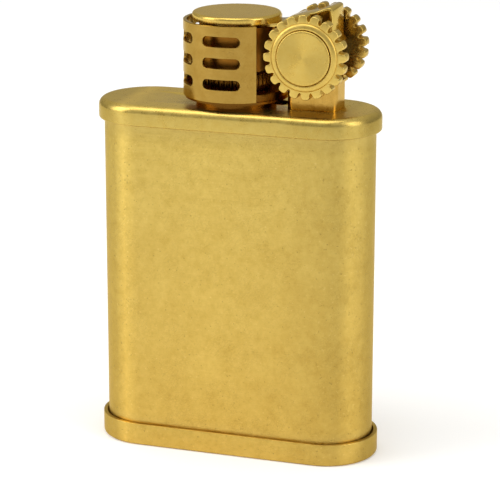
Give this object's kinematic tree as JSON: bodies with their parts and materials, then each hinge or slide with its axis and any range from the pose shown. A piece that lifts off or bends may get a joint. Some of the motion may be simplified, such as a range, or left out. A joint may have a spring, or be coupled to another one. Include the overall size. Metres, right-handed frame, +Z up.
{
  "type": "petrol pocket lighter",
  "caption": "Pocket petrol lighter: flat rounded case, slotted wind guard, lift-arm snuffer cap and toothed thumb wheels beside a flint wheel.",
  "frame": {"origin": "middle of the case's underside, on the surface that the lighter stands on", "axes": "+Z up, +X along the case towards the thumb wheels, -Y towards the front broad face"},
  "size_m": [0.04, 0.0146, 0.0628],
  "materials": {
    "satin_brass": "satin, fine brushed grain with light scratches and speckle",
    "polished_brass": "polished, with small handling marks",
    "turned_brass": "lathe turned, fine concentric marks",
    "wheel_brass": "cast and filed teeth, worn bright on the tips",
    "steel": "ground",
    "file_steel": "hardened, file cut",
    "spring_steel": "drawn wire and sheet",
    "flint": "pressed ferrocerium, dull",
    "cotton": "twisted cotton",
    "felt": "pressed wool felt",
    "leather": "oiled leather"
  },
  "bodies": {
    "case": {"body_tube": "satin_brass", "base_cap": "satin_brass", "top_lid": "satin_brass", "filler_bush": "turned_brass", "flint_tube": "turned_brass", "fuel_wadding": "cotton", "felt_pad": "felt", "wick": "cotton", "burner_tube": "turned_brass", "burner_base": "turned_brass", "guard_collar": "turned_brass", "wind_guard": "polished_brass", "wheel_post": "polished_brass", "arm_spring": "spring_steel"},
    "snuffer": {"snuffer_arm": "polished_brass", "arm_yoke": "polished_brass", "snuffer_cap": "satin_brass", "snuffer_cup": "turned_brass", "snuffer_pad": "leather", "snuffer_rivet": "turned_brass"},
    "wheels": {"axle": "steel", "file_wheel": "file_steel", "front_thumb_wheel": "wheel_brass", "rear_thumb_wheel": "wheel_brass", "wheel_spacers": "turned_brass", "hub_discs": "turned_brass"},
    "flint": {"flint": "flint", "flint_plunger": "turned_brass"},
    "spring_pack": {"flint_spring": "spring_steel"},
    "flint_screw": {"flint_screw": "turned_brass"},
    "gasket": {"filler_gasket": "leather"},
    "filler_screw": {"filler_screw": "turned_brass"}
  },
  "joints": [
    {"name": "arm_swing", "type": "hinge", "parent": "case", "child": "snuffer", "pos_m": [0.011, 0, 0.0566], "axis": [0, 1, 0], "range_deg": [0, 83]},
    {"name": "wheel_spin", "type": "hinge", "parent": "case", "child": "wheels", "pos_m": [0.011, 0, 0.0566], "axis": [0, 1, 0], "continuous": true},
    {"name": "flint_feed", "type": "slide", "parent": "case", "child": "flint", "axis": [0, 0, 1], "range_m": [-0.0015, 0], "stiffness_N_per_m": 200, "springref_m": 0.001, "deforming": ["flint_spring"]},
    {"name": "flint_screw_lift", "type": "slide", "parent": "case", "child": "spring_pack", "axis": [0, 0, -1], "range_m": [0, 0.006]},
    {"name": "flint_screw_turn", "type": "hinge", "parent": "spring_pack", "child": "flint_screw", "pos_m": [0.011, 0, 0], "axis": [0, 0, -1], "range_deg": [0, 3600]},
    {"name": "filler_screw_lift", "type": "slide", "parent": "case", "child": "gasket", "axis": [0, 0, -1], "range_m": [0, 0.0032]},
    {"name": "filler_screw_turn", "type": "hinge", "parent": "gasket", "child": "filler_screw", "pos_m": [-0.008, 0, 0], "axis": [0, 0, -1], "range_deg": [0, 1440]}
  ],
  "couplings": [
    {"joint": "flint_screw_turn", "follows": "flint_screw_lift", "rad_per_m": 10472},
    {"joint": "filler_screw_turn", "follows": "filler_screw_lift", "rad_per_m": 7853.9}
  ]
}
